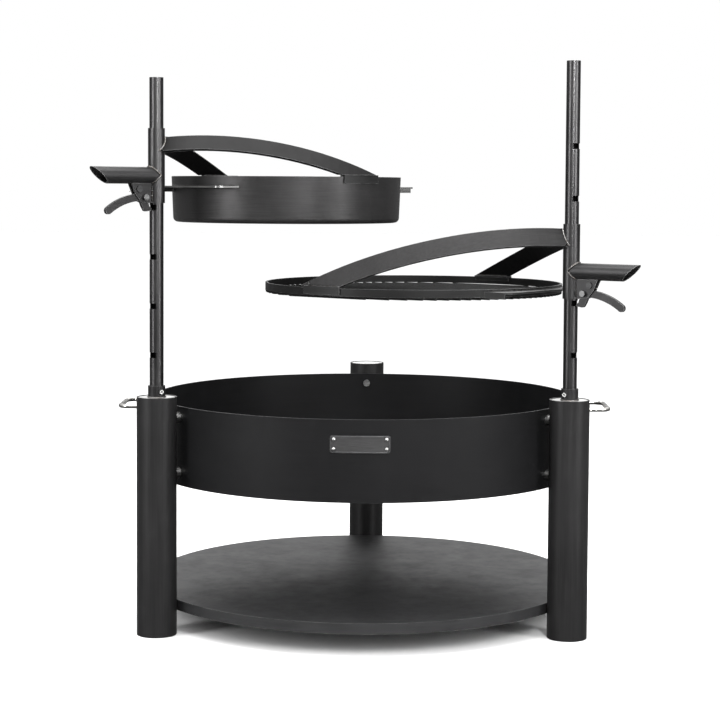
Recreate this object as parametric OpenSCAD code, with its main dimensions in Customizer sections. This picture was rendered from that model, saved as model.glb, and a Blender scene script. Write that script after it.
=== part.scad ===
// Round steel fire bowl on three tube posts, with a wood shelf below and two swinging masts:
// the left mast carries a pan and the right mast carries a grate.
// Origin: bowl axis at floor level. +X right, +Y to the back, +Z up. Millimetres.

/* [Bowl] */
// Outer diameter of the bowl
bowl_d = 800; // [700:10:900]
// Height of the bowl rim above the floor
rim_z = 411; // [380:1:440]
// Height of the bowl wall
bowl_h = 144; // [120:1:160]
// Sheet thickness of the bowl, its floor and the shelf
sheet_t = 3; // [2:0.5:4]
// Height of the round-rod handles above the floor
bowl_handle_z = 391; // [370:1:400]
// How far the rod handles reach out from the bowl axis
bowl_handle_reach = 468; // [450:1:490]
// Distance between the two legs of a rod handle, centre to centre
bowl_handle_w = 120; // [90:1:140]
// Rod diameter of the bowl handles
bowl_handle_rod = 8; // [6:0.5:10]

/* [Posts] */
// Outer diameter of the three posts
post_d = 72; // [60:1:80]
// Wall thickness of the posts
post_t = 3; // [2:0.5:4]
// Height of the posts
post_h = 431; // [400:1:460]
// Angle of each front post, measured from the X axis towards the front
post_angle = 33.5; // [30:0.5:36]
// Gap between the bowl wall and the posts, bridged by spacers
post_gap = 8; // [6:0.5:12]

/* [Shelf] */
// Height of the shelf's top surface
shelf_z = 60; // [50:1:80]
// Height of the band around the shelf
shelf_band = 19; // [15:1:30]

/* [Masts] */
// Outer diameter of both masts
mast_d = 25; // [24:0.5:26]
// Wall thickness of both masts
mast_t = 2; // [1.5:0.5:3]
// Height of the left mast's top
left_mast_top = 1001; // [1000:1:1040]
// Height of the right mast's top
right_mast_top = 1034; // [1000:1:1060]
// Height of the left mast's lowest notch
left_notch_z = 506; // [500:1:515]
// Distance between the notches of the left mast
left_pitch = 88; // [86:1:90]
// Height of the right mast's lowest notch
right_notch_z = 511; // [505:1:520]
// Distance between the notches of the right mast
right_pitch = 93; // [90:1:95]
// Number of notches in each mast
notch_count = 5; // [4:1:5]
// Height of one notch
notch_h = 10; // [9:0.5:12]

/* [Carriages] */
// Outer diameter of the sleeves that slide on the masts
sleeve_d = 30; // [29:0.5:32]
// Length of the sleeves
sleeve_h = 133; // [120:1:140]
// Outer diameter of the grip tubes
grip_d = 30; // [28:0.5:32]
// Reach of a grip tube's tip from the mast axis
grip_reach = 138; // [125:1:145]
// Thickness of the bent flat bars that carry the pan and the grate
leg_t = 5; // [4:0.5:6]

/* [Pan] */
// Outer diameter of the pan at its rim
pan_d = 432; // [400:1:440]
// Height of the pan
pan_h = 85; // [70:1:85]
// Distance from the left mast to the middle of the pan
pan_reach = 298; // [290:1:305]
// Direction of the pan arm, from +X towards +Y
pan_azimuth = 42.1; // [35:0.1:50]

/* [Grate] */
// Outer diameter of the grate ring
grate_d = 561; // [540:1:570]
// Height of the grate ring
grate_ring_h = 14; // [12:1:16]
// Diameter of the grate rods
rod_d = 5; // [4:0.5:6]
// Distance between neighbouring rods
rod_pitch = 16; // [14:1:20]
// Distance from the right mast to the middle of the grate
grate_reach = 346; // [340:1:350]
// Direction of the grate arm, from -X towards +Y
grate_azimuth = 36.5; // [32:0.1:40]

/* [Hidden] */
$fn = 96;
fine = 360;
eps = 1;

bowl_r = bowl_d / 2;
bowl_in = bowl_r - sheet_t;
bowl_z = rim_z - bowl_h;
post_r = post_d / 2;
post_in = post_r - post_t;
post_rho = bowl_r + post_gap + post_r;
post_face = bowl_r + post_gap;
post_azimuths = [180 + post_angle, 360 - post_angle, 90];
mast_x = post_rho * cos(post_angle);
mast_y = -post_rho * sin(post_angle);
disc_gap = 0.1;

bolt_zs = [bowl_z + 24, rim_z - 20];
bolt_d = 8;
bolt_hole = 8.4;
bolt_head_d = 14;
bolt_head_h = 5;
spacer_d = 20;
nut_af = 13;
nut_h = 6.5;
nut_start = post_face + post_t + 1;

shelf_r = post_face;
shelf_bolt_z = shelf_z - 11;

cap_t = 4;
cap_drop = 1;
socket_d = 31;
bore_gap = 0.4;
socket_in = mast_d + 2 * bore_gap;
collar_h = 20;
socket_bottom = post_h - 95;
seat_t = 5;
mast_bottom = socket_bottom + 0.3;
screw_z = post_h + 10;
screw_d = 5;
screw_head_d = 7.5;
screw_angle = 55;

left_zn = left_notch_z + 3 * left_pitch;
right_zn = right_notch_z + right_pitch;
notch_depth = 5.5;

// heights and places below are counted from the notch that holds the carriage
sleeve_low = 8;
grip_up = 57;
grip_wall = 2;
grip_cut = 33;
pivot_q = 29.5;
pivot_up = 18.2;
pivot_d = 8;
pivot_head_d = 11;
pivot_gap = 0.05;
lever_t = 6;
lever_w = 13.4;
lever_bend = 117;
lever_apex = 33;
lever_tip = 103;
lever_boss_d = 17;
tooth_q = mast_d / 2 + bore_gap;
cheek_t = 3;
cheek_gap = 0.3;
spring_q = 41;
spring_up = 33;
spring_pin_d = 6;
spring_d = 10;
spring_wire = 1.6;

clip_t = 3;
clip_len = 80;
clip_lip = 12;
clip_inner_lip = 7;
clip_in_w = 13;

pan_wall = 2.5;
pan_r = pan_d / 2;
pan_taper = 3;
pan_corner = 9;
pan_rim = left_zn + 57;
pan_leg_w = 34;
pan_leg_bend = 505;
pan_leg_lean = 43;
pan_leg_turn = atan((pan_r - 5) / pan_reach) + 10.3;
pan_leg_apex_s = 84;
pan_leg_apex_z = left_zn + 129;

ring_t = 4;
grate_r = grate_d / 2;
grate_rim = right_zn + 25.5;
grate_low = grate_rim - grate_ring_h;
grate_leg_w = 36;
grate_leg_bend = 477;
grate_leg_lean = 32;
grate_leg_turn = atan((grate_r - 5) / grate_reach) + 18.2;
grate_leg_apex_s = 61;
grate_leg_apex_z = right_zn + 134;
leg_sweep = 66;
leg_gap = 0.2;

plate_t = 3;
plate_out = 22;
plate_half_angle = 28;
plate_round = 12;
plate_flange = 8;
pan_plate_drop = 18;
grate_plate_drop = 4;

badge_w = 104;
badge_h = 30;
badge_t = 1.5;
badge_z = rim_z - 42.5;
badge_turn = -0.3;
badge_round = 4;
rivet_d = 7;
rivet_h = 2.6;
rivet_in = 6.5;

steel = [0.16, 0.17, 0.18];
steel_dark = [0.11, 0.12, 0.13];
steel_worn = [0.3, 0.3, 0.31];
steel_bright = [0.72, 0.72, 0.73];
brushed = [0.25, 0.25, 0.26];

// ---------- shared shapes ----------

function arc_points(cx, cz, r, a0, a1, steps) =
    [for (i = [0 : steps]) let (a = a0 + (a1 - a0) * i / steps) [cx + r * cos(a), cz + r * sin(a)]];

module tube(r_out, r_in, z0, z1) {
    difference() {
        translate([0, 0, z0]) cylinder(r = r_out, h = z1 - z0);
        translate([0, 0, z0 - eps]) cylinder(r = r_in, h = z1 - z0 + 2 * eps);
    }
}

module disc(r, z0, z1, hole_r = 0) {
    difference() {
        translate([0, 0, z0]) cylinder(r = r, h = z1 - z0);
        if (hole_r > 0) translate([0, 0, z0 - eps]) cylinder(r = hole_r, h = z1 - z0 + 2 * eps);
    }
}

// a round bar along a spoke of the bowl, from radius r0 to radius r1
module spoke(azimuth, z, r0, r1, d) {
    rotate([0, 0, azimuth]) translate([r0, 0, z]) rotate([0, 90, 0]) cylinder(d = d, h = r1 - r0);
}

module hex_spoke(azimuth, z, r0, r1, af, hole) {
    rotate([0, 0, azimuth]) translate([r0, 0, z]) rotate([0, 90, 0]) difference() {
        cylinder(d = af / cos(30), h = r1 - r0, $fn = 6);
        translate([0, 0, -eps]) cylinder(d = hole, h = r1 - r0 + 2 * eps);
    }
}

module at_post(i) {
    rotate([0, 0, post_azimuths[i]]) translate([post_rho, 0, 0]) children();
}

module at_mast(side) {
    translate([side * mast_x, mast_y, 0]) children();
}

// arm frame: +X along the arm, -X along the grip, origin on the mast axis at floor level
module arm_frame(side) {
    azimuth = side < 0 ? pan_azimuth : 180 - grate_azimuth;
    at_mast(side) rotate([0, 0, azimuth]) children();
}

// grip plane: drawn as (distance behind the mast, height above the notch), extruded sideways
module grip_plane(side, y0, y1) {
    zn = side < 0 ? left_zn : right_zn;
    arm_frame(side) translate([0, y0, zn]) rotate([90, 0, 180]) linear_extrude(y1 - y0) children();
}

// a pin across the grip plane
module cross_pin(side, q, up, y0, y1, d, sides = 0) {
    zn = side < 0 ? left_zn : right_zn;
    arm_frame(side) translate([-q, y0, zn + up]) rotate([-90, 0, 0])
        cylinder(d = d, h = y1 - y0, $fn = sides > 0 ? sides : $fn);
}

// ---------- posts ----------

module post(i) {
    color(steel) difference() {
        at_post(i) tube(post_r, post_in, 0, post_h);
        for (z = bolt_zs) spoke(post_azimuths[i], z, post_face - 2, post_face + 6, bolt_hole);
        spoke(post_azimuths[i], shelf_bolt_z, post_face - 2, post_face + 6, bolt_hole);
    }
}

module post_feet() {
    color(steel_dark) for (i = [0 : 2]) at_post(i) disc(post_in - disc_gap, 0, sheet_t);
}

module post_cap(i, hole_r) {
    top = post_h - cap_drop;
    color(steel_worn) at_post(i) disc(post_in - disc_gap, top - cap_t, top, hole_r);
}

module socket(side) {
    color(steel) difference() {
        at_mast(side) tube(socket_d / 2, socket_in / 2, socket_bottom, post_h + collar_h);
        at_mast(side) rotate([0, 0, -90 - side * (90 - screw_angle)]) translate([8, 0, screw_z])
            rotate([0, 90, 0]) cylinder(d = screw_d + 0.2, h = 12);
    }
}

module socket_guide(side) {
    low = socket_bottom + 14;
    color(steel_dark) at_mast(side)
        disc(post_in - disc_gap, low, low + cap_t, socket_d / 2 + disc_gap / 2);
}

module mast_seat(side) {
    color(steel_dark) at_mast(side) disc(socket_d / 2, socket_bottom - seat_t, socket_bottom);
}

module socket_screws() {
    head_start = socket_d / 2 + 0.3;
    color(steel_bright) for (side = [-1, 1])
        at_mast(side) rotate([0, 0, -90 - side * (90 - screw_angle)]) translate([0, 0, screw_z])
            rotate([0, 90, 0]) difference() {
                union() {
                    translate([0, 0, mast_d / 2 + 0.7]) cylinder(d = screw_d, h = 5);
                    translate([0, 0, head_start]) cylinder(d = screw_head_d, h = 4);
                }
                translate([0, 0, head_start + 1.5]) cylinder(d = screw_head_d - 3.5, h = 4, $fn = 6);
            }
}

// ---------- bowl ----------

module bowl_wall() {
    color(steel_dark) difference() {
        tube(bowl_r, bowl_in, bowl_z, rim_z, $fn = fine);
        for (a = post_azimuths, z = bolt_zs) spoke(a, z, bowl_in - 3, bowl_r + 3, bolt_hole);
    }
}

module bowl_floor() {
    color(steel_dark) disc(bowl_in, bowl_z, bowl_z + sheet_t, $fn = fine);
}

module bowl_handle(side) {
    bend = 18;
    half = bowl_handle_w / 2;
    out = bowl_handle_reach - bowl_handle_rod / 2;
    rod = bowl_handle_rod;
    color(steel_bright) difference() {
        translate([0, 0, bowl_handle_z]) mirror([side < 0 ? 1 : 0, 0, 0]) union() {
            for (s = [-1, 1]) {
                translate([bowl_r - 20, s * half, 0]) rotate([0, 90, 0])
                    cylinder(d = rod, h = out - bend - bowl_r + 20);
                translate([out - bend, s * (half - bend), 0])
                    rotate([0, 0, s > 0 ? 0 : -90]) rotate_extrude(angle = 90)
                        translate([bend, 0]) circle(d = rod);
            }
            translate([out, -half + bend, 0]) rotate([-90, 0, 0])
                cylinder(d = rod, h = 2 * (half - bend));
        }
        cylinder(r = bowl_r, h = rim_z + 50, $fn = fine);
    }
}

module bowl_bolts() {
    color(steel_bright) for (a = post_azimuths, z = bolt_zs) {
        spoke(a, z, bowl_in - bolt_head_h - 0.5, bowl_in - 0.5, bolt_head_d);
        spoke(a, z, bowl_in - 0.5, nut_start + nut_h + 2, bolt_d);
    }
}

module bowl_spacers() {
    color(steel_bright) for (a = post_azimuths, z = bolt_zs) difference() {
        spoke(a, z, bowl_r, post_face, spacer_d);
        spoke(a, z, bowl_r - eps, post_face + eps, bolt_hole);
    }
}

module bowl_nuts() {
    color(steel_bright) for (a = post_azimuths, z = bolt_zs)
        hex_spoke(a, z, nut_start, nut_start + nut_h, nut_af, bolt_d);
}

module rounded_bar(w, h, r) {
    square([w - 2 * r, h], center = true);
    square([w, h - 2 * r], center = true);
    for (x = [-1, 1], y = [-1, 1]) translate([x * (w / 2 - r), y * (h / 2 - r)]) circle(r = r);
}

module badge_plate() {
    color(steel) rotate([0, 0, badge_turn]) intersection() {
        tube(bowl_r + badge_t, bowl_r, badge_z - badge_h, badge_z + badge_h, $fn = fine);
        translate([0, 0, badge_z]) rotate([90, 0, 0]) linear_extrude(bowl_r + 20)
            rounded_bar(badge_w, badge_h, badge_round);
    }
}

module badge_rivets() {
    turn = asin((badge_w / 2 - rivet_in) / bowl_r);
    dome_r = (pow(rivet_d / 2, 2) + pow(rivet_h, 2)) / (2 * rivet_h);
    color(steel_bright) for (s = [-1, 1], v = [-1, 1])
        rotate([0, 0, badge_turn - 90 + s * turn])
            translate([bowl_r + badge_t + 0.2, 0, badge_z + v * (badge_h / 2 - rivet_in)])
                rotate([0, 90, 0]) intersection() {
                    translate([0, 0, rivet_h - dome_r]) sphere(r = dome_r);
                    cylinder(d = rivet_d + 2, h = rivet_h + 1);
                }
}

// ---------- shelf ----------

module shelf_plate() {
    color(steel_dark) disc(shelf_r - sheet_t, shelf_z - sheet_t, shelf_z, $fn = fine);
}

module shelf_band_ring() {
    color(steel) difference() {
        tube(shelf_r, shelf_r - sheet_t, shelf_z - shelf_band, shelf_z, $fn = fine);
        for (a = post_azimuths) spoke(a, shelf_bolt_z, shelf_r - 6, shelf_r + 3, bolt_hole);
    }
}

module shelf_bolts() {
    inner = shelf_r - sheet_t;
    color(steel_bright) for (a = post_azimuths) {
        spoke(a, shelf_bolt_z, inner - bolt_head_h - 0.3, inner - 0.3, bolt_head_d - 1);
        spoke(a, shelf_bolt_z, inner - 0.3, nut_start + nut_h + 2, bolt_d);
    }
}

module shelf_nuts() {
    color(steel_bright) for (a = post_azimuths)
        hex_spoke(a, shelf_bolt_z, nut_start, nut_start + nut_h, nut_af, bolt_d);
}

// ---------- masts ----------

module mast(side) {
    top = side < 0 ? left_mast_top : right_mast_top;
    first = side < 0 ? left_notch_z : right_notch_z;
    pitch = side < 0 ? left_pitch : right_pitch;
    r = mast_d / 2;
    color(steel_worn) difference() {
        at_mast(side) tube(r, r - mast_t, mast_bottom, top);
        for (i = [0 : notch_count - 1]) arm_frame(side)
            translate([-r - eps, -r - eps, first + i * pitch - notch_h / 2])
                cube([notch_depth + eps, 2 * (r + eps), notch_h]);
    }
}

// ---------- carriages ----------

module sleeve(side) {
    low = (side < 0 ? left_zn : right_zn) + sleeve_low;
    color(steel_worn) at_mast(side)
        tube(sleeve_d / 2, mast_d / 2 + bore_gap, low, low + sleeve_h);
}

module grip(side) {
    z = (side < 0 ? left_zn : right_zn) + grip_up;
    r = grip_d / 2;
    color(steel) arm_frame(side) difference() {
        translate([0, 0, z]) rotate([0, -90, 0]) tube(r, r - grip_wall, 0, grip_reach);
        cylinder(d = sleeve_d, h = z + 2 * r);
        // oblique cut: the top of the tube reaches further than its underside
        translate([-grip_reach, 0, z + r]) rotate([0, -atan(grip_cut / grip_d), 0])
            translate([-2 * r, -2 * r, -4 * r]) cube([2 * r, 4 * r, 5 * r]);
    }
}

module cheek_outline() {
    polygon([[12, 9], [12, 50], [57, 50], [57, 42], [48, 22], [38, 10.5], [34, 9]]);
}

module bracket(side) {
    zn = side < 0 ? left_zn : right_zn;
    inner = lever_t / 2 + cheek_gap;
    color(steel) difference() {
        for (y = [-inner - cheek_t, inner]) grip_plane(side, y, y + cheek_t) cheek_outline();
        at_mast(side) cylinder(d = sleeve_d, h = zn + 80);
        arm_frame(side) translate([0, 0, zn + grip_up]) rotate([0, -90, 0])
            cylinder(d = grip_d, h = grip_reach);
        cross_pin(side, pivot_q, pivot_up, -15, 15, pivot_d + 2 * pivot_gap);
        cross_pin(side, spring_q, spring_up, -15, 15, spring_pin_d + 0.1);
    }
}

// head_side: the side of the grip plane that shows the bolt head
module pivot_bolt(side, head_side) {
    face = lever_t / 2 + cheek_gap + cheek_t;
    color(steel_bright) {
        cross_pin(side, pivot_q, pivot_up, -face - 6, face + 6, pivot_d);
        y = head_side < 0 ? -face - 6.5 : face + 0.5;
        cross_pin(side, pivot_q, pivot_up, y, y + 6, pivot_head_d);
    }
}

module pivot_nut(side, head_side) {
    face = lever_t / 2 + cheek_gap + cheek_t;
    y = head_side < 0 ? face + 0.3 : -face - 5.3;
    color(steel_bright) difference() {
        cross_pin(side, pivot_q, pivot_up, y, y + 5, nut_af / cos(30), 6);
        cross_pin(side, pivot_q, pivot_up, y - eps, y + 5 + eps, pivot_d);
    }
}

module spring_pin(side) {
    face = lever_t / 2 + cheek_gap + cheek_t;
    color(steel_worn) {
        cross_pin(side, spring_q, spring_up, -face, face, spring_pin_d);
        for (y = [-face - 2, face]) cross_pin(side, spring_q, spring_up, y, y + 2, 12);
    }
}

module lever_spring(side) {
    half = lever_t / 2 - 0.4;
    zn = side < 0 ? left_zn : right_zn;
    color(steel_bright) {
        difference() {
            cross_pin(side, spring_q, spring_up, -half, half, spring_d);
            cross_pin(side, spring_q, spring_up, -5, 5, spring_pin_d + 0.8);
        }
        // the free end of the wire, lying just above the lever
        arm_frame(side) translate([-spring_q, 0, zn + spring_up - spring_d / 2 + spring_wire / 2])
            rotate([0, -90, 0]) cylinder(d = spring_wire, h = 15);
    }
}

// lever: a curved finger bar with a round end, a round boss at the pivot and a pawl tooth below it
module lever_outline() {
    bend_z = pivot_up - lever_bend;
    tip_angle = acos((lever_tip - lever_apex) / lever_bend);
    tip_z = bend_z + lever_bend * sin(tip_angle);
    half = lever_w / 2;
    polygon(concat(
        [[tooth_q, -1], [tooth_q, -5], [24, -7], [28, -6], [33, 2]],
        arc_points(lever_apex, bend_z, lever_bend - half, 88, tip_angle, 12),
        arc_points(lever_tip, tip_z, half, tip_angle - 165, tip_angle - 15, 10),
        arc_points(lever_apex, bend_z, lever_bend + half, tip_angle, 88, 12),
        arc_points(pivot_q, pivot_up, lever_boss_d / 2, 55, 200, 12),
        [[17, 1.5]]
    ));
}

module lever(side) {
    color(steel) difference() {
        grip_plane(side, -lever_t / 2, lever_t / 2) lever_outline();
        cross_pin(side, pivot_q, pivot_up, -lever_t, lever_t, pivot_d + 2 * pivot_gap);
    }
}

// ---------- arms ----------

// a flat bar bent the easy way and leaning inwards, from the sleeve down to the clip on the rim
// away: +1 or -1, the side of the arm it stands on. It is cut level where it lands on the clip.
module leg(side, away, turn, apex_s, apex_z, bend, w, lean, foot_z) {
    start = asin(apex_s / bend);
    middle_z = apex_z - (w * cos(lean) + leg_t * sin(lean)) / 2;
    middle_y = away * cos(lean) * bend * (1 - cos(start));
    color(steel) arm_frame(side) intersection() {
        difference() {
            rotate([0, 0, away * turn]) translate([apex_s, middle_y, middle_z]) rotate([away * lean, 0, 0])
                linear_extrude(w, center = true) polygon(concat(
                    arc_points(0, -away * bend, bend + leg_t / 2, away * (90 + start), away * (90 - leg_sweep), 36),
                    arc_points(0, -away * bend, bend - leg_t / 2, away * (90 - leg_sweep), away * (90 + start), 36)
                ));
            cylinder(d = sleeve_d, h = apex_z + 20);
        }
        translate([0, away > 0 ? leg_gap / 2 : -bend - leg_gap / 2, foot_z]) cube([2 * bend, bend, apex_z]);
    }
}

module pan_leg(away) {
    leg(-1, away, pan_leg_turn, pan_leg_apex_s, pan_leg_apex_z, pan_leg_bend, pan_leg_w, pan_leg_lean,
        pan_rim + clip_t);
}

module grate_leg(away) {
    leg(1, away, grate_leg_turn, grate_leg_apex_s, grate_leg_apex_z, grate_leg_bend, grate_leg_w,
        grate_leg_lean, grate_rim + clip_t);
}

// a channel that straddles the rim: long outer lip, short inner lip
module clips(side, reach, r, wall, rim) {
    sweep = clip_len / r * 180 / PI;
    color(steel) arm_frame(side) translate([reach, 0, rim]) for (a = [90, -90])
        rotate([0, 0, a - sweep / 2]) rotate_extrude(angle = sweep, $fn = fine) polygon([
            [r, -clip_lip], [r + clip_t, -clip_lip], [r + clip_t, clip_t], [r - clip_in_w, clip_t],
            [r - clip_in_w, 0], [r - wall - 3.5, 0], [r - wall - 3.5, -clip_inner_lip],
            [r - wall - 0.5, -clip_inner_lip], [r - wall - 0.5, 0], [r, 0],
        ]);
}

// a flat plate that stands out level from a round wall, with one end turned down
module side_plate(side, reach, r, top, away) {
    half = r * sin(plate_half_angle);
    inner = r * cos(plate_half_angle) - 10;
    outer = r + plate_out;
    color(steel) arm_frame(side) translate([reach, 0, 0]) rotate([0, 0, away ? 0 : 180]) difference() {
        union() {
            translate([0, 0, top - plate_t]) linear_extrude(plate_t) union() {
                translate([inner, -half]) square([outer - plate_round - inner, 2 * half]);
                translate([inner, -half + plate_round]) square([outer - inner, 2 * (half - plate_round)]);
                for (s = [-1, 1]) translate([outer - plate_round, s * (half - plate_round)])
                    circle(r = plate_round);
            }
            translate([inner, -half, top - plate_t - plate_flange])
                cube([outer - plate_round - inner, plate_t, plate_flange]);
        }
        translate([0, 0, top - 30]) cylinder(r = r, h = 40, $fn = fine);
    }
}

module pan_plate(away) {
    side_plate(-1, pan_reach, pan_r, pan_rim - pan_plate_drop, away);
}

module grate_plate() {
    side_plate(1, grate_reach, grate_r, grate_rim - grate_plate_drop, false);
}

// ---------- pan and grate ----------

module pan() {
    low = pan_rim - pan_h;
    foot_r = pan_r - pan_taper;
    inner_corner = pan_corner - pan_wall;
    corner_x = foot_r - pan_corner;
    corner_z = low + pan_corner;
    color(brushed) arm_frame(-1) translate([pan_reach, 0, 0]) rotate_extrude($fn = fine) polygon(concat(
        [[0, low]],
        arc_points(corner_x, corner_z, pan_corner, -90, 0, 6),
        [[pan_r, pan_rim], [pan_r - pan_wall, pan_rim]],
        arc_points(corner_x, corner_z, inner_corner, 0, -90, 6),
        [[0, low + pan_wall]]
    ));
}

module grate_ring() {
    color(steel) arm_frame(1) translate([grate_reach, 0, 0])
        tube(grate_r, grate_r - ring_t, grate_low, grate_rim, $fn = fine);
}

module grate_rods() {
    count = floor((grate_d - 2 * ring_t) / rod_pitch);
    end_r = grate_r - 0.5;
    color(steel_dark) arm_frame(1) translate([grate_reach, 0, grate_low - rod_d / 2])
        for (i = [0 : count - 1]) {
            s = (i - (count - 1) / 2) * rod_pitch;
            l = sqrt(pow(end_r, 2) - pow(abs(s) + rod_d / 2, 2));
            translate([-l, s, 0]) rotate([0, 90, 0]) cylinder(d = rod_d, h = 2 * l, $fn = 24);
        }
}

// ---------- nodes ----------

post(0);  // post_left
post(1);  // post_right
post(2);  // post_rear
post_feet();
post_cap(0, socket_d / 2 + disc_gap / 2);  // post_cap_left
post_cap(1, socket_d / 2 + disc_gap / 2);  // post_cap_right
post_cap(2, 0);  // post_cap_rear
socket(-1);  // socket_left
socket(1);  // socket_right
socket_guide(-1);  // socket_guide_left
socket_guide(1);  // socket_guide_right
mast_seat(-1);  // mast_seat_left
mast_seat(1);  // mast_seat_right
socket_screws();
bowl_wall();
bowl_floor();
bowl_handle(-1);  // bowl_handle_left
bowl_handle(1);  // bowl_handle_right
bowl_bolts();
bowl_spacers();
bowl_nuts();
badge_plate();
badge_rivets();
shelf_plate();
shelf_band_ring();
shelf_bolts();
shelf_nuts();
mast(-1);  // mast_left
mast(1);  // mast_right
sleeve(-1);  // sleeve_left
grip(-1);  // grip_left
bracket(-1);  // bracket_left
pivot_bolt(-1, -1);  // pivot_bolt_left
pivot_nut(-1, -1);  // pivot_nut_left
spring_pin(-1);  // spring_pin_left
pan_leg(-1);  // pan_leg_front
pan_leg(1);  // pan_leg_rear
clips(-1, pan_reach, pan_r, pan_wall, pan_rim);  // pan_clips
pan();
pan_plate(false);  // pan_plate_near
pan_plate(true);  // pan_plate_far
sleeve(1);  // sleeve_right
grip(1);  // grip_right
bracket(1);  // bracket_right
pivot_bolt(1, 1);  // pivot_bolt_right
pivot_nut(1, 1);  // pivot_nut_right
spring_pin(1);  // spring_pin_right
grate_leg(1);  // grate_leg_front
grate_leg(-1);  // grate_leg_rear
clips(1, grate_reach, grate_r, ring_t, grate_rim);  // grate_clips
grate_ring();
grate_rods();
grate_plate();
lever(-1);  // lever_left
lever_spring(-1);  // lever_spring_left
lever(1);  // lever_right
lever_spring(1);  // lever_spring_right
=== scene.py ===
"""Fire bowl with a swinging pan and grate: looks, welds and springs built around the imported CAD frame.

All sizes are metres in the row frame: bowl axis at floor level, +X right, +Y back, +Z up.
"""
import math

import bmesh
import bpy
from mathutils import Matrix, Quaternion, Vector


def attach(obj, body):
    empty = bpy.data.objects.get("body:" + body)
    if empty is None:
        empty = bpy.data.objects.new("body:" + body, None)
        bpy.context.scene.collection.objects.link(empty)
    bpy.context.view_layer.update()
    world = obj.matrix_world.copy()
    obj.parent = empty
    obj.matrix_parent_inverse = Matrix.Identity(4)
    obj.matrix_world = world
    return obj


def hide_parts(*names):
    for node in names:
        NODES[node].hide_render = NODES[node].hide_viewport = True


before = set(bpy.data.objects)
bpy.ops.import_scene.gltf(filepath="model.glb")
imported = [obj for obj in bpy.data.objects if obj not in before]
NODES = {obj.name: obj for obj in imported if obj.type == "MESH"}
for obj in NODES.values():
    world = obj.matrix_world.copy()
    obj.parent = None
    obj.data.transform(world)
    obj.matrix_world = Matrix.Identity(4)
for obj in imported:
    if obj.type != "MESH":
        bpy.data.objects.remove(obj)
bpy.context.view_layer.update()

# ---------- places taken over from the CAD model ----------
BOWL_R = 0.400
BOWL_IN = 0.397
BOWL_Z = 0.267
POST_TOP = 0.431
COLLAR_R = 0.0155
MAST = {-1: Vector((-0.370247, -0.245061, 0)), 1: Vector((0.370247, -0.245061, 0))}
SIDE_NAME = {-1: "left", 1: "right"}
NOTCH_Z = {-1: 0.770, 1: 0.604}
ARM_AZIMUTH = {-1: math.radians(42.1), 1: math.radians(180 - 36.5)}
SLEEVE_R = 0.015
GRIP_R = 0.015
GRIP_UP = 0.057
SPRING = (0.041, 0.033)
PAN_R = 0.216
PAN_REACH = 0.298
PAN_RIM = 0.827
GRATE_R = 0.2805
GRATE_REACH = 0.346
GRATE_RIM = 0.6295
GRATE_LOW = 0.6155
ROD_D = 0.005
ROD_PITCH = 0.016
CLIP_T = 0.003
LEG_T = 0.005
LEGS = {
    -1: dict(reach=PAN_REACH, r=PAN_R, foot=PAN_RIM + CLIP_T, apex=(0.084, 0.899), width=0.034, bend=0.505,
             lean=math.radians(43), turn=math.atan(0.211 / 0.298) + math.radians(10.3)),
    1: dict(reach=GRATE_REACH, r=GRATE_R, foot=GRATE_RIM + CLIP_T, apex=(0.061, 0.738), width=0.036, bend=0.477,
            lean=math.radians(32), turn=math.atan(0.2755 / 0.346) + math.radians(18.2)),
}
HANDLE_Z = 0.391
HANDLE_HALF = 0.060
HANDLE_ROD_R = 0.004
BADGE_Z = 0.3685
BADGE_W = 0.104
BADGE_H = 0.030
BADGE_TURN = math.radians(-0.3)
PLATE_HALF_ANGLE = 28
PLATE_T = 0.003
PLATE_DROP = {-1: 0.018, 1: 0.004}
CLIP_HALF_LEN = 0.038
CLIP_IN_W = 0.013
CHEEK_Y = 0.0064
CHEEK_Z = (0.011, 0.040)
SHELF_WELD_R = 0.4044
SHELF_WELD_Z = 0.0566


def arm_matrix(side):
    """Arm frame: +X along the arm, origin on the mast axis at floor level."""
    return Matrix.Translation(MAST[side]) @ Matrix.Rotation(ARM_AZIMUTH[side], 4, "Z")


def arm_centre(side):
    reach = LEGS[side]["reach"]
    return arm_matrix(side) @ Vector((reach, 0, 0))


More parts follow.
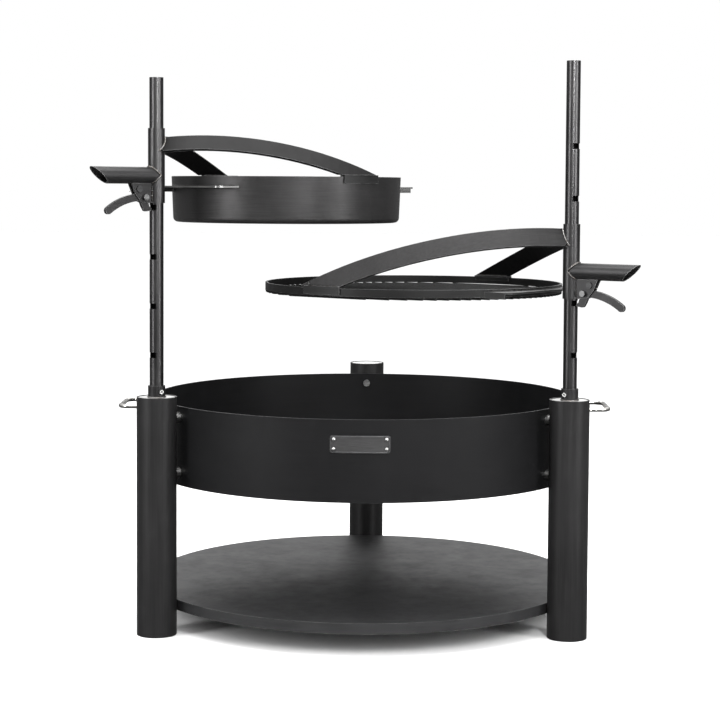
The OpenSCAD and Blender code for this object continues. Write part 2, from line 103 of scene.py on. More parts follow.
# ---------- material building ----------
class Tree:
    """A short way to build one material's nodes."""

    def __init__(self, name):
        self.mat = bpy.data.materials.new(name)
        self.mat.use_nodes = True
        self.nodes = self.mat.node_tree.nodes
        self.links = self.mat.node_tree.links
        self.shader = self.nodes["Principled BSDF"]
        self.place = self.nodes.new("ShaderNodeTexCoord").outputs["Object"]

    def link(self, source, target):
        self.links.new(source, target)

    def math(self, operation, a, b=None, clamp=False):
        node = self.nodes.new("ShaderNodeMath")
        node.operation = operation
        node.use_clamp = clamp
        for socket, value in zip(node.inputs, (a, b)):
            if value is None:
                continue
            if isinstance(value, (int, float)):
                socket.default_value = value
            else:
                self.link(value, socket)
        return node.outputs[0]

    def mapped(self, scale, turn=0.0, origin=(0, 0, 0)):
        """Object coordinates about origin, turned by -turn about Z, then scaled."""
        shift = self.nodes.new("ShaderNodeMapping")
        shift.inputs["Location"].default_value = [-v for v in origin]
        self.link(self.place, shift.inputs["Vector"])
        spin = self.nodes.new("ShaderNodeMapping")
        spin.inputs["Rotation"].default_value = (0, 0, -turn)
        self.link(shift.outputs[0], spin.inputs["Vector"])
        grow = self.nodes.new("ShaderNodeMapping")
        grow.inputs["Scale"].default_value = scale
        self.link(spin.outputs[0], grow.inputs["Vector"])
        return grow.outputs[0]

    def around(self, origin, scale):
        """Coordinates (angle, radius, height) about an upright axis, each scaled."""
        moved = self.mapped((1, 1, 1), 0.0, origin)
        split = self.nodes.new("ShaderNodeSeparateXYZ")
        self.link(moved, split.inputs[0])
        x, y, z = split.outputs
        angle = self.math("ARCTAN2", y, x)
        radius = self.math("SQRT", self.math("ADD", self.math("MULTIPLY", x, x), self.math("MULTIPLY", y, y)))
        joined = self.nodes.new("ShaderNodeCombineXYZ")
        for socket, value, k in zip(joined.inputs, (angle, radius, z), scale):
            self.link(self.math("MULTIPLY", value, k), socket)
        return joined.outputs[0]

    def noise(self, vector, scale=1.0, detail=3.0, rough=0.5):
        node = self.nodes.new("ShaderNodeTexNoise")
        node.inputs["Scale"].default_value = scale
        node.inputs["Detail"].default_value = detail
        node.inputs["Roughness"].default_value = rough
        self.link(vector, node.inputs["Vector"])
        return node.outputs["Fac"]

    def spread(self, value, low, high, to_low=0.0, to_high=1.0):
        """value between low and high, spread over to_low to to_high and held there."""
        node = self.nodes.new("ShaderNodeMapRange")
        node.inputs["From Min"].default_value = low
        node.inputs["From Max"].default_value = high
        node.inputs["To Min"].default_value = to_low
        node.inputs["To Max"].default_value = to_high
        self.link(value, node.inputs["Value"])
        return node.outputs["Result"]

    def mix(self, factor, a, b):
        """Colour a where factor is 0, colour b where it is 1."""
        node = self.nodes.new("ShaderNodeMix")
        node.data_type = "RGBA"
        self.link(factor, node.inputs["Factor"])
        for socket, value in ((node.inputs[6], a), (node.inputs[7], b)):
            if isinstance(value, tuple):
                socket.default_value = (*value, 1)
            else:
                self.link(value, socket)
        return node.outputs[2]

    def edge_wear(self, radius, noise, strength=1.0):
        """Near 1 along sharp edges, broken up by noise."""
        bevel = self.nodes.new("ShaderNodeBevel")
        bevel.samples = 4
        bevel.inputs["Radius"].default_value = radius
        geometry = self.nodes.new("ShaderNodeNewGeometry")
        dot = self.nodes.new("ShaderNodeVectorMath")
        dot.operation = "DOT_PRODUCT"
        self.link(bevel.outputs[0], dot.inputs[0])
        self.link(geometry.outputs["Normal"], dot.inputs[1])
        bent = self.math("SUBTRACT", 1.0, dot.outputs["Value"])
        near = self.spread(bent, 0.02, 0.20)
        broken = self.spread(noise, 0.35, 0.60, 0.25, 1.0)
        return self.math("MULTIPLY", self.math("MULTIPLY", near, broken), strength, clamp=True)

    def bump(self, height, distance, strength=1.0):
        node = self.nodes.new("ShaderNodeBump")
        node.inputs["Distance"].default_value = distance
        node.inputs["Strength"].default_value = strength
        self.link(height, node.inputs["Height"])
        self.link(node.outputs["Normal"], self.shader.inputs["Normal"])


def dark_steel(name, base, worn, roughness, metallic, streaks, specular=0.35, soot=None,
               edge=0.0012, edge_strength=0.8, fine=900.0, bump=0.00006, contrast=1.0):
    """Dark satin steel: cloudy tone, streaks along its making direction, smudges and rubbed edges.

    streaks is the coordinate, already stretched, that the making marks follow; contrast is how far tones part.
    soot is (low z, high z, colour): a darker bloom that fades between the two heights.
    """
    t = Tree(name)
    clouds = t.noise(t.mapped((9, 9, 9)), detail=4)
    smudges = t.noise(t.mapped((38, 38, 26)), detail=5, rough=0.6)
    marks = t.noise(streaks(t), detail=4, rough=0.65)
    grain = t.noise(t.mapped((fine, fine, fine)), detail=2)
    deep = tuple((1 - 0.38 * contrast) * v for v in base)
    light = tuple((1 + 0.45 * contrast) * v for v in base)
    tone = t.mix(t.spread(clouds, 0.34, 0.66), deep, base)
    tone = t.mix(t.spread(marks, 0.40, 0.72, 0.0, 0.75), tone, light)
    tone = t.mix(t.spread(smudges, 0.58, 0.74, 0.0, 0.35), tone, light)
    if soot:
        low, high, colour = soot
        split = t.nodes.new("ShaderNodeSeparateXYZ")
        t.link(t.place, split.inputs[0])
        fade = t.spread(split.outputs["Z"], low, high)
        ragged = t.math("MULTIPLY", fade, t.spread(clouds, 0.30, 0.62, 0.45, 1.0))
        tone = t.mix(ragged, tone, colour)
    rubbed = t.edge_wear(edge, smudges, edge_strength)
    tone = t.mix(rubbed, tone, worn)
    t.link(tone, t.shader.inputs["Base Color"])
    rough = t.spread(marks, 0.3, 0.7, roughness - 0.05, roughness + 0.07)
    rough = t.math("ADD", rough, t.spread(smudges, 0.45, 0.7, 0.0, 0.07))
    rough = t.math("SUBTRACT", rough, t.math("MULTIPLY", rubbed, 0.10), clamp=True)
    t.link(rough, t.shader.inputs["Roughness"])
    t.shader.inputs["Metallic"].default_value = metallic
    t.shader.inputs["Specular IOR Level"].default_value = specular
    height = t.math("ADD", t.math("MULTIPLY", marks, 0.7), t.math("MULTIPLY", grain, 0.3))
    t.bump(height, bump)
    return t.mat


def bright_steel(name, base, roughness, streaks, dull=0.35, fine=700.0, bump=0.00004):
    """Bare or plated steel with fine lines, dull patches and darker handling marks."""
    t = Tree(name)
    patches = t.noise(t.mapped((45, 45, 30)), detail=5, rough=0.6)
    marks = t.noise(streaks(t), detail=4, rough=0.7)
    grain = t.noise(t.mapped((fine, fine, fine)), detail=2)
    dark = tuple(dull * v for v in base)
    tone = t.mix(t.spread(marks, 0.35, 0.62), dark, base)
    tone = t.mix(t.spread(patches, 0.52, 0.75, 0.0, 0.6), tone, dark)
    t.link(tone, t.shader.inputs["Base Color"])
    rough = t.spread(marks, 0.3, 0.7, roughness - 0.06, roughness + 0.08)
    rough = t.math("ADD", rough, t.spread(patches, 0.5, 0.75, 0.0, 0.12), clamp=True)
    t.link(rough, t.shader.inputs["Roughness"])
    t.shader.inputs["Metallic"].default_value = 1.0
    height = t.math("ADD", t.math("MULTIPLY", marks, 0.6), t.math("MULTIPLY", grain, 0.4))
    t.bump(height, bump)
    return t.mat


def weld_steel(name, base, tint):
    """Weld metal: bright ripples with heat-tinted brown patches."""
    t = Tree(name)
    patches = t.noise(t.mapped((210, 210, 210)), detail=3)
    grain = t.noise(t.mapped((1400, 1400, 1400)), detail=2)
    tone = t.mix(t.spread(patches, 0.45, 0.62), base, tint)
    tone = t.mix(t.spread(grain, 0.55, 0.75, 0.0, 0.5), tone, tuple(0.4 * v for v in base))
    t.link(tone, t.shader.inputs["Base Color"])
    t.link(t.spread(patches, 0.35, 0.65, 0.24, 0.42), t.shader.inputs["Roughness"])
    t.shader.inputs["Metallic"].default_value = 1.0
    t.bump(grain, 0.00008)
    return t.mat


def upright(t):
    """Marks that run up and down, as on a drawn tube."""
    return t.mapped((420, 420, 7))


def level(t):
    """Marks that run level in every direction, as on a rolled sheet."""
    return t.mapped((14, 14, 420))


def along(turn):
    """Marks that run level along one direction in plan."""
    return lambda t: t.mapped((10, 520, 300), turn)


def turned(origin, pitch=900):
    """Marks that run round an upright axis, as on a spun dish."""
    return lambda t: t.around(origin, (3.5, pitch, pitch))


INK = (0.0045, 0.0048, 0.0055)
PAN_CENTRE = arm_centre(-1)
GRATE_CENTRE = arm_centre(1)

MATERIALS = {
    "bowl_outside": dark_steel("bowl_outside", (0.0062, 0.0062, 0.0067), (0.10, 0.10, 0.105), 0.45, 0.22,
                               turned((0, 0, 0), 420), specular=0.20, edge_strength=0.40, contrast=0.55),
    "bowl_floor": dark_steel("bowl_floor", (0.012, 0.012, 0.012), (0.10, 0.10, 0.10), 0.62, 0.2,
                             level, specular=0.25, soot=(0.275, 0.262, INK)),
    "post_steel": dark_steel("post_steel", (0.022, 0.0216, 0.022), (0.22, 0.22, 0.22), 0.40, 0.60,
                             upright, specular=0.4, contrast=0.6),
    "shelf_steel": dark_steel("shelf_steel", (0.030, 0.030, 0.031), (0.20, 0.20, 0.20), 0.46, 0.45,
                              level, specular=0.35, contrast=0.7),
    "cap_steel": bright_steel("cap_steel", (0.62, 0.62, 0.61), 0.45, level, dull=0.75),
    "mast_steel": bright_steel("mast_steel", (0.072, 0.071, 0.072), 0.32, upright, dull=0.85, bump=0.00001),
    "sleeve_steel": bright_steel("sleeve_steel", (0.072, 0.071, 0.072), 0.36, upright, dull=0.8, bump=0.00002),
    "bolt_steel": bright_steel("bolt_steel", (0.58, 0.58, 0.57), 0.27, level, dull=0.7),
    "handle_steel": bright_steel("handle_steel", (0.60, 0.59, 0.57), 0.22, level, dull=0.75),
    "spring_steel": bright_steel("spring_steel", (0.40, 0.39, 0.37), 0.32, level, dull=0.6),
    "pin_steel": bright_steel("pin_steel", (0.075, 0.075, 0.076), 0.40, level, dull=0.6),
    "pivot_steel": bright_steel("pivot_steel", (0.20, 0.20, 0.20), 0.35, level, dull=0.6),
    # The pan's side plates are coloured far lighter than the pan and the grate plate. This is a painted
    # highlight standing in for their lit top faces.
    "pan_plate_painted_highlight_steel": bright_steel("pan_plate_painted_highlight_steel", (0.34, 0.34, 0.335), 0.36, level, dull=0.7),
    "badge_steel": dark_steel("badge_steel", (0.050, 0.0495, 0.050), (0.35, 0.35, 0.36), 0.42, 0.6,
                              lambda t: t.mapped((40, 40, 900)), specular=0.4, edge=0.0006),
    "badge_border": bright_steel("badge_border", (0.16, 0.16, 0.165), 0.38, level, dull=0.7),
    "pan_steel": dark_steel("pan_steel", (0.040, 0.0392, 0.0396), (0.28, 0.28, 0.28), 0.37, 0.78,
                            turned(PAN_CENTRE, 1100), specular=0.4, bump=0.00008, contrast=0.8),
    "grate_steel": dark_steel("grate_steel", (0.012, 0.012, 0.012), (0.16, 0.16, 0.16), 0.42, 0.55,
                              turned(GRATE_CENTRE, 500), specular=0.35, contrast=0.7),
    "rod_steel": dark_steel("rod_steel", (0.008, 0.008, 0.008), (0.03, 0.03, 0.03), 0.68, 0.15,
                            along(ARM_AZIMUTH[1]), specular=0.10, contrast=0.7),
    "plate_steel": dark_steel("plate_steel", (0.018, 0.018, 0.018), (0.20, 0.20, 0.20), 0.46, 0.50,
                              level, specular=0.32, contrast=0.7),
    "weld_bright": weld_steel("weld_bright", (0.20, 0.195, 0.19), (0.10, 0.085, 0.075)),
    "weld_dark": weld_steel("weld_dark", (0.06, 0.06, 0.06), (0.035, 0.03, 0.027)),
}
# Leg colours: the right front leg is coloured about three times lighter than the right rear leg. This is
# painted light on the front leg's upward-facing face and painted shade on the rear leg's downward-facing face.
# The left legs are nearly alike.
ARM_PAINTED_LIGHT_TONE = {"arm_left_front": (0.0065, 0.0063, 0.0064), "arm_left_rear": (0.0060, 0.0058, 0.0060),
            "arm_right_front": (0.0270, 0.0265, 0.0268), "arm_right_rear": (0.0090, 0.0088, 0.0090)}
for side, name in SIDE_NAME.items():
    for sign, place in ((-1, "front"), (1, "rear")):
        # the grate's arm frame is turned the other way, so its front leg turns with the other sign
        turn = ARM_AZIMUTH[side] + (sign if side < 0 else -sign) * LEGS[side]["turn"]
        key = f"arm_{name}_{place}"
        base = ARM_PAINTED_LIGHT_TONE[key]
        MATERIALS[key] = dark_steel(key, base, (0.24, 0.24, 0.24), 0.42, 0.70,
                                    along(turn), specular=0.3, contrast=0.8)
    key = f"grip_{name}"
    MATERIALS[key] = dark_steel(key, (0.034, 0.0335, 0.034), (0.30, 0.30, 0.30), 0.38, 0.75,
                                along(ARM_AZIMUTH[side]), specular=0.4, contrast=0.7)

LOOKS = {
    "post_steel": ["post_left", "post_right", "post_rear", "post_feet", "socket_left", "socket_right",
                   "socket_guide_left", "socket_guide_right", "mast_seat_left", "mast_seat_right"],
    "cap_steel": ["post_cap_left", "post_cap_right", "post_cap_rear"],
    "bowl_outside": ["bowl_wall"],
    "bowl_floor": ["bowl_floor"],
    "shelf_steel": ["shelf_plate", "shelf_band_ring"],
    "handle_steel": ["bowl_handle_left", "bowl_handle_right"],
    "bolt_steel": ["socket_screws", "bowl_bolts", "bowl_spacers", "bowl_nuts", "badge_rivets", "shelf_bolts",
                   "shelf_nuts"],
    "pivot_steel": ["pivot_bolt_left", "pivot_nut_left", "pivot_bolt_right", "pivot_nut_right"],
    "pan_plate_painted_highlight_steel": ["pan_plate_near", "pan_plate_far"],
    "badge_steel": ["badge_plate"],
    "mast_steel": ["mast_left", "mast_right"],
    "sleeve_steel": ["sleeve_left", "sleeve_right"],
    "pin_steel": ["spring_pin_left", "spring_pin_right"],
    "grip_left": ["grip_left", "bracket_left", "lever_left"],
    "grip_right": ["grip_right", "bracket_right", "lever_right"],
    "arm_left_front": ["pan_leg_front"],
    "arm_left_rear": ["pan_leg_rear"],
    "arm_right_front": ["grate_leg_front"],
    "plate_steel": ["pan_clips", "grate_clips", "grate_plate"],
    "arm_right_rear": ["grate_leg_rear"],
    "pan_steel": ["pan"],
    "grate_steel": ["grate_ring"],
    "rod_steel": ["grate_rods"],
}

# ---------- edges of the CAD pieces ----------
EDGE_BREAK = 0.0005
ROUNDED_EDGE = 0.0012
ROUNDED = {"bowl_bolts", "shelf_bolts", "pivot_bolt_left", "pivot_bolt_right", "socket_screws",
           "lever_left", "lever_right", "post_cap_left", "post_cap_right", "post_cap_rear"}
SHARP_ANGLE = math.radians(38)


def soften(obj, width):
    """Breaks the sharp edges with a bevel."""
    bevel = obj.modifiers.new("edge_break", "BEVEL")
    bevel.limit_method = "ANGLE"
    bevel.angle_limit = SHARP_ANGLE
    bevel.width = width
    bevel.segments = 2
    bevel.harden_normals = False


for look, names in LOOKS.items():
    for name in names:
        node = NODES[name]
        node.data.materials.clear()
        node.data.materials.append(MATERIALS[look])
        soften(node, ROUNDED_EDGE if name in ROUNDED else EDGE_BREAK)


# ---------- pieces made here ----------
def add_piece(name, verts, faces, look, body, smooth=True):
    mesh = bpy.data.meshes.new(name)
    mesh.from_pydata([tuple(v) for v in verts], [], faces)
    mesh.materials.append(MATERIALS[look])
    obj = bpy.data.objects.new(name, mesh)
    bpy.context.scene.collection.objects.link(obj)
    bm = bmesh.new()
    bm.from_mesh(mesh)
    bmesh.ops.recalc_face_normals(bm, faces=bm.faces)
    bm.to_mesh(mesh)
    bm.free()
    for polygon in mesh.polygons:
        polygon.use_smooth = smooth
    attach(obj, body)
    return obj


def sweep(points, radii, closed, sides=10, verts=None, faces=None):
    """A tube along points with its own radius at each one. Returns (verts, faces), adding to those given."""
    verts = [] if verts is None else verts
    faces = [] if faces is None else faces
    first = len(verts)
    count = len(points)
    normal = None
    for i, p in enumerate(points):
        ahead = points[(i + 1) % count] if closed or i < count - 1 else p
        behind = points[i - 1] if closed or i > 0 else p
        along_path = (ahead - behind).normalized()
        if normal is None:
            other = Vector((0, 0, 1)) if abs(along_path.z) < 0.9 else Vector((1, 0, 0))
            normal = along_path.cross(other).normalized()
        else:
            normal = (normal - along_path * normal.dot(along_path)).normalized()
        across = along_path.cross(normal)
        for k in range(sides):
            a = 2 * math.pi * k / sides
            verts.append(p + (normal * math.cos(a) + across * math.sin(a)) * radii[i])
    rings = count if closed else count - 1
    for i in range(rings):
        j = (i + 1) % count
        for k in range(sides):
            m = (k + 1) % sides
            faces.append((first + i * sides + k, first + i * sides + m,
                          first + j * sides + m, first + j * sides + k))
    if not closed:
        faces.append(tuple(first + k for k in reversed(range(sides))))
        faces.append(tuple(first + (count - 1) * sides + k for k in range(sides)))
    return verts, faces


def resample(points, step, closed):
    """The same path with evenly spaced points, step apart."""
    loop = points + [points[0]] if closed else points
    out = [loop[0].copy()]
    carried = 0.0
    for a, b in zip(loop, loop[1:]):
        length = (b - a).length
        at = step - carried
        while at <= length:
            out.append(a.lerp(b, at / length))
            at += step
        carried = length - (at - step)
    if closed and (out[-1] - out[0]).length < 0.5 * step:
        out.pop()
    return out


WELD_STEP = 0.00045
RIPPLE = 0.0030
BEAD_GAP = 0.0006


def ripple_radii(count, radius, depth, phase=0.0):
    """Radii that rise sharply and fall slowly, like overlapping weld ripples."""
    radii = []
    for i in range(count):
        part = (i * WELD_STEP / RIPPLE + phase) % 1.0
        wander = 0.06 * math.sin(i * 0.041 + 7 * phase) + 0.04 * math.sin(i * 0.013 + phase)
        radii.append(radius * (1 - depth * part + wander))
    return radii


def weld(name, paths, radius, look, body, depth=0.26, closed=False, sides=9):
    """One piece with a weld bead along each path."""
    verts, faces = [], []
    for n, path in enumerate(paths):
        points = resample([Vector(p) for p in path], WELD_STEP, closed)
        radii = ripple_radii(len(points), radius, depth, 0.37 * n)
        if not closed:
            for k, share in enumerate((0.35, 0.7, 0.9)):
                radii[k] *= share
                radii[-1 - k] *= share
        sweep(points, radii, closed, sides, verts, faces)
    return add_piece(name, verts, faces, look, body)


def circle_path(centre, radius, z, a0=0.0, a1=360.0, count=180):
    whole = abs(a1 - a0) >= 360
    steps = count if whole else count + 1
    return [Vector((centre[0] + radius * math.cos(math.radians(a0 + (a1 - a0) * i / count)),
                    centre[1] + radius * math.sin(math.radians(a0 + (a1 - a0) * i / count)), z))
            for i in range(steps)]


def leg_point(side, away, x, face, edge):
    """A point of a leaning leg in its arm frame: face -1 to 1 through the bar, edge -1 to 1 up its width."""
    leg = LEGS[side]
    apex_s, apex_z = leg["apex"]
    lean, bend, width = leg["lean"], leg["bend"], leg["width"]
    outward = Vector((0, away * math.cos(lean), math.sin(lean)))
    upward = Vector((0, -away * math.sin(lean), math.cos(lean)))
    start = away * math.cos(lean) * (bend - math.sqrt(bend ** 2 - apex_s ** 2))
    middle = apex_z - (width * math.cos(lean) + LEG_T * math.sin(lean)) / 2
    fall = bend - math.sqrt((bend + face * LEG_T / 2) ** 2 - (x - apex_s) ** 2)
    point = Vector((x, start, middle)) - fall * outward + edge * width / 2 * upward
    return Matrix.Rotation(away * leg["turn"], 4, "Z") @ point


def along_leg(test, near, far):
    """The distance along a leg at which test, which rises along it, passes zero."""
    for _ in range(40):
        middle = (near + far) / 2
        if test(middle) < 0:
            near = middle
        else:
            far = middle
    return near


def leg_seams(side, away):
    """Weld paths where a leg meets the sleeve and where it lands on its clip, in the arm frame."""
    leg = LEGS[side]
    on_sleeve, on_clip = [], []
    for face in (-1, 1):
        sleeve_path, clip_path = [], []
        for k in range(-12, 13):
            edge = k / 12

            def bar(x):
                return leg_point(side, away, x, face, edge)

            p = bar(along_leg(lambda x: bar(x).xy.length - SLEEVE_R - BEAD_GAP, 0.002, 0.060))
            if away * p.y > -0.0005:
                sleeve_path.append(p)
            p = bar(along_leg(lambda x: leg["foot"] - bar(x).z, 0.200, 0.440))
            radial = (p.xy - Vector((leg["reach"], 0))).length - leg["r"]
            if abs(p.x - leg["reach"]) < CLIP_HALF_LEN and -CLIP_IN_W < radial < CLIP_T:
                clip_path.append(p + Vector((0, 0, 0.0004)))
        on_sleeve.append(sleeve_path)
        if len(clip_path) > 2:
            on_clip.append(clip_path)
    top = [leg_point(side, away, x, f, 1) for x, f in ((0.0165, -1), (0.0165, 0), (0.0165, 1))]
    return on_sleeve + [[p for p in top if away * p.y > -0.003]], on_clip


# the grip tube's saddle joint on the sleeve, and the legs' joints on the sleeve and the clips
for side, name in SIDE_NAME.items():
    to_row = arm_matrix(side)
    zn = NOTCH_Z[side]
    body = f"carriage_{name}"

    saddle = []
    for k in range(160):
        a = 2 * math.pi * k / 160
        y = GRIP_R * math.cos(a)
        lift = GRIP_R * math.sin(a)
        x = -math.sqrt(max(SLEEVE_R ** 2 - y ** 2, 0.0))
        out = Vector((0, y, lift)).normalized() * 0.0008
        saddle.append(to_row @ (Vector((x - 0.0008, y, zn + GRIP_UP + lift)) + out))
    weld(f"grip_weld_{name}", [saddle], 0.0018, "weld_bright", body, closed=True)

    seams = []
    feet = []
    for away in (-1, 1):
        on_sleeve, on_clip = leg_seams(side, away)
        seams += [[to_row @ p for p in path] for path in on_sleeve if len(path) > 1]
        feet += [[to_row @ p for p in path] for path in on_clip]
    weld(f"leg_weld_{name}", seams, 0.0017, "weld_bright", body)
    weld(f"foot_weld_{name}", feet, 0.0016, "weld_dark", body)

    cheeks = []
    for face in (-1, 1):
        y = face * CHEEK_Y
        x = -math.sqrt(SLEEVE_R ** 2 - y ** 2) - BEAD_GAP
        cheeks.append([to_row @ Vector((x, y, zn + up)) for up in CHEEK_Z])
    weld(f"cheek_weld_{name}", cheeks, 0.0015, "weld_dark", body)

# the side plates' joints on the pan and the grate ring
for side, prefix, rim in ((-1, "pan", PAN_RIM), (1, "grate", GRATE_RIM)):
    leg = LEGS[side]
    z = rim - PLATE_DROP[side]
    centre = arm_centre(side)
    paths = []
    for away in (0, 180) if side < 0 else (0,):
        mid = math.degrees(ARM_AZIMUTH[side]) + 180 - away
        half = PLATE_HALF_ANGLE - 3
        paths.append(circle_path(centre, leg["r"] + 0.0004, z + 0.0004, mid - half, mid + half, 60))
        paths.append(circle_path(centre, leg["r"] + 0.0004, z - PLATE_T - 0.0004, mid - half, mid + half, 60))
    weld(f"{prefix}_plate_weld", paths, 0.0014, "weld_dark", f"carriage_{SIDE_NAME[side]}",
         depth=0.2, sides=7)

# rods tacked under the grate ring
count = int((2 * GRATE_R - 0.008) / ROD_PITCH)
tacks = []
to_grate = Matrix.Translation(GRATE_CENTRE) @ Matrix.Rotation(ARM_AZIMUTH[1], 4, "Z")
for i in range(count):
    s = (i - (count - 1) / 2) * ROD_PITCH
    l = math.sqrt((GRATE_R - 0.002) ** 2 - s ** 2)
    for end in (-1, 1):
        for edge in (-1, 1):
            y = s + edge * ROD_D * 0.42
            x = end * l
            tacks.append([to_grate @ Vector((x + d * end, y, GRATE_LOW - 0.0003)) for d in (-0.0035, 0.0012)])
weld("rod_tacks", tacks, 0.0012, "rod_steel", "carriage_right", depth=0.2, sides=6)

# bowl handles, bowl floor, collars
rings = []
for end in (-1, 1):
    for half in (-1, 1):
        foot = Vector((end * BOWL_R, half * HANDLE_HALF, HANDLE_Z))
        foot.x = end * (math.sqrt(BOWL_R ** 2 - HANDLE_HALF ** 2) + 0.0006)
        rings.append([foot + Vector((0, HANDLE_ROD_R * 1.08 * math.cos(a), HANDLE_ROD_R * 1.08 * math.sin(a)))
                      for a in (2 * math.pi * k / 40 for k in range(40))])
weld("handle_welds", rings, 0.0016, "weld_bright", "root", closed=True)
weld("bowl_floor_weld", [circle_path((0, 0), BOWL_IN - 0.0006, BOWL_Z + 0.0036)], 0.0024, "weld_dark", "root",
     closed=True, sides=7)
weld("shelf_weld", [circle_path((0, 0), SHELF_WELD_R, SHELF_WELD_Z)], 0.0020, "weld_dark", "root",
     closed=True, sides=7)
collars = [circle_path(MAST[side], COLLAR_R + 0.0003, POST_TOP - 0.0006, count=90) for side in (-1, 1)]
weld("collar_welds", collars, 0.0016, "weld_bright", "root", closed=True)


# torsion springs on their pins
def torsion_spring(side):
    name = SIDE_NAME[side]
    wire = 0.0008
    turns = 3
    coil_r = 0.0042
    half = 0.0024
    q, up = SPRING
    z = NOTCH_Z[side] + up
    steps = 40 * turns
    path = []
    for i in range(steps + 1):
        a = -math.pi / 2 + 2 * math.pi * i / 40
        y = -half + 2 * half * i / steps
        path.append(Vector((-q + coil_r * math.cos(a), y, z + coil_r * math.sin(a))))
    # one leg lies over the lever, the other reaches up to the grip tube
    last = path[-1]
    path += [last + Vector((-0.003 * k, 0, -0.0001 * k)) for k in range(1, 6)]
    first = path[0]
    path = [first + Vector((0.0016 * k, 0, 0.0030 * k)) for k in range(3, 0, -1)] + path
    path = [arm_matrix(side) @ p for p in path]
    verts, faces = sweep(path, [wire] * len(path), False, 10)
    obj = add_piece(f"torsion_spring_{name}", verts, faces, "spring_steel", f"carriage_{name}")
    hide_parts(f"lever_spring_{name}")


for side in SIDE_NAME:
    torsion_spring(side)


# raised border of the blank badge, following the bowl's wall
def badge_border():
    inset = 0.0016
    half_w = BADGE_W / 2 - inset
    half_h = BADGE_H / 2 - inset
    corner = 0.003
    outline = []
    for cx, cz, a0 in ((half_w - corner, half_h - corner, 0), (-half_w + corner, half_h - corner, 90),
                       (-half_w + corner, -half_h + corner, 180), (half_w - corner, -half_h + corner, 270)):
        for k in range(7):
            a = math.radians(a0 + 15 * k)
            outline.append((cx + corner * math.cos(a), cz + corner * math.sin(a)))
    path = []
    for u, v in outline:
        path.append(Vector((u, 0, v)))
    path = resample(path, 0.0012, True)
    face_r = BOWL_R + 0.0015
    wrapped = []
    for p in path:
        a = -math.pi / 2 + BADGE_TURN + p.x / face_r
        wrapped.append(Vector((face_r * math.cos(a), face_r * math.sin(a), BADGE_Z + p.z)))
    verts, faces = sweep(wrapped, [0.00045] * len(wrapped), True, 8)
    add_piece("badge_border", verts, faces, "badge_border", "root")


badge_border()

# ---------- stage, camera and lights ----------
FLOOR_HALF = 30.0


def make_floor():
    mesh = bpy.data.meshes.new("floor")
    corners = [(-FLOOR_HALF, -FLOOR_HALF, 0), (FLOOR_HALF, -FLOOR_HALF, 0),
               (FLOOR_HALF, FLOOR_HALF, 0), (-FLOOR_HALF, FLOOR_HALF, 0)]
    mesh.from_pydata(corners, [], [(0, 1, 2, 3)])
    t = Tree("floor_paint")
    clouds = t.noise(t.mapped((0.8, 0.8, 0.8)), detail=2)
    t.link(t.mix(clouds, (0.90, 0.90, 0.90), (0.92, 0.92, 0.92)), t.shader.inputs["Base Color"])
    t.shader.inputs["Roughness"].default_value = 0.9
    t.shader.inputs["Specular IOR Level"].default_value = 0.0
    mesh.materials.append(t.mat)
    floor = bpy.data.objects.new("floor", mesh)
    floor.location.z = -0.0005
    floor.visible_glossy = False
    bpy.context.scene.collection.objects.link(floor)


CAMERA_PLACE = (0.04142, -3.55216, 0.80464)
CAMERA_YAW, CAMERA_PITCH, CAMERA_ROLL = -0.01435, 0.0597, 0.0058
CAMERA_LENS = 92.69
CAMERA_SHIFT = -0.0833


def make_camera():
    data = bpy.data.cameras.new("camera")
    camera = bpy.data.objects.new("camera", data)
    bpy.context.scene.collection.objects.link(camera)
    bpy.context.scene.camera = camera
    data.sensor_width = 36.0
    data.lens = CAMERA_LENS
    data.shift_y = CAMERA_SHIFT
    data.clip_end = 100.0
    level_part = math.cos(CAMERA_PITCH)
    forward = Vector((math.sin(CAMERA_YAW) * level_part, math.cos(CAMERA_YAW) * level_part,
                      -math.sin(CAMERA_PITCH)))
    facing = forward.to_track_quat("-Z", "Y")
    camera.rotation_mode = "QUATERNION"
    camera.rotation_quaternion = facing @ Quaternion((0, 0, 1), CAMERA_ROLL)
    camera.location = CAMERA_PLACE


def area_light(name, location, target, size, power, tint=(1, 1, 1)):
    data = bpy.data.lights.new(name, "AREA")
    data.shape = "RECTANGLE"
    data.size, data.size_y = size
    data.energy = power
    data.color = tint
    light = bpy.data.objects.new(name, data)
    light.location = location
    light.rotation_mode = "QUATERNION"
    light.rotation_quaternion = (Vector(target) - Vector(location)).to_track_quat("-Z", "Y")
    light.visible_camera = False
    bpy.context.scene.collection.objects.link(light)


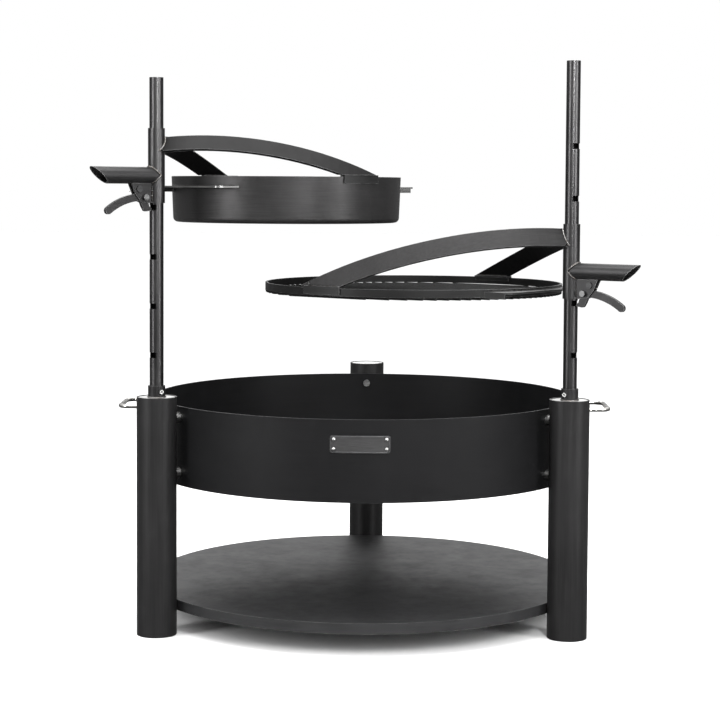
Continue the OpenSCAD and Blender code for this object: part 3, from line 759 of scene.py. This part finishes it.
def make_world():
    """White behind the object; a dim room for the light that falls on it."""
    world = bpy.data.worlds.new("studio")
    bpy.context.scene.world = world
    world.use_nodes = True
    nodes, links = world.node_tree.nodes, world.node_tree.links
    nodes.clear()
    out = nodes.new("ShaderNodeOutputWorld")
    mix = nodes.new("ShaderNodeMixShader")
    path = nodes.new("ShaderNodeLightPath")
    room = nodes.new("ShaderNodeBackground")
    white = nodes.new("ShaderNodeBackground")
    ramp = nodes.new("ShaderNodeValToRGB")
    coord = nodes.new("ShaderNodeTexCoord")
    split = nodes.new("ShaderNodeSeparateXYZ")
    links.new(coord.outputs["Generated"], split.inputs[0])
    lift = nodes.new("ShaderNodeMapRange")
    lift.inputs["From Min"].default_value = -1.0
    lift.inputs["From Max"].default_value = 1.0
    links.new(split.outputs["Z"], lift.inputs["Value"])
    links.new(lift.outputs["Result"], ramp.inputs["Fac"])
    stops = ramp.color_ramp.elements
    stops[0].position, stops[0].color = 0.0, (0.10, 0.10, 0.10, 1)
    stops[1].position, stops[1].color = 1.0, (1.0, 1.0, 1.0, 1)
    for position, value in ((0.45, 0.12), (0.60, 0.16), (0.75, 0.6)):
        stop = ramp.color_ramp.elements.new(position)
        stop.color = (value, value, value, 1)
    links.new(ramp.outputs["Color"], room.inputs["Color"])
    room.inputs["Strength"].default_value = 1.6
    white.inputs["Color"].default_value = (1, 1, 1, 1)
    white.inputs["Strength"].default_value = 1.0
    links.new(path.outputs["Is Camera Ray"], mix.inputs["Fac"])
    links.new(room.outputs[0], mix.inputs[1])
    links.new(white.outputs[0], mix.inputs[2])
    links.new(mix.outputs[0], out.inputs["Surface"])


make_floor()
make_camera()
make_world()
area_light("softbox_top", (0.0, -0.2, 3.2), (0, 0, 0), (3.0, 2.4), 120)
area_light("softbox_left", (-2.6, -1.9, 1.3), (0, 0, 0.45), (0.7, 2.2), 55)
area_light("softbox_right", (2.6, -1.9, 1.3), (0, 0, 0.45), (0.7, 2.2), 55)
area_light("softbox_front", (0.4, -4.2, 1.9), (0, 0, 0.5), (2.6, 1.6), 40)
area_light("softbox_back", (0.0, 3.2, 2.0), (0, 0, 0.5), (3.0, 1.2), 25)
# a tall narrow light that draws the bright line up the masts, fading downwards
area_light("strip_masts", (0.6, -2.0, 1.40), (0.2, -0.245, 1.00), (0.08, 0.9), 26)
bpy.context.scene.view_settings.view_transform = "Standard"
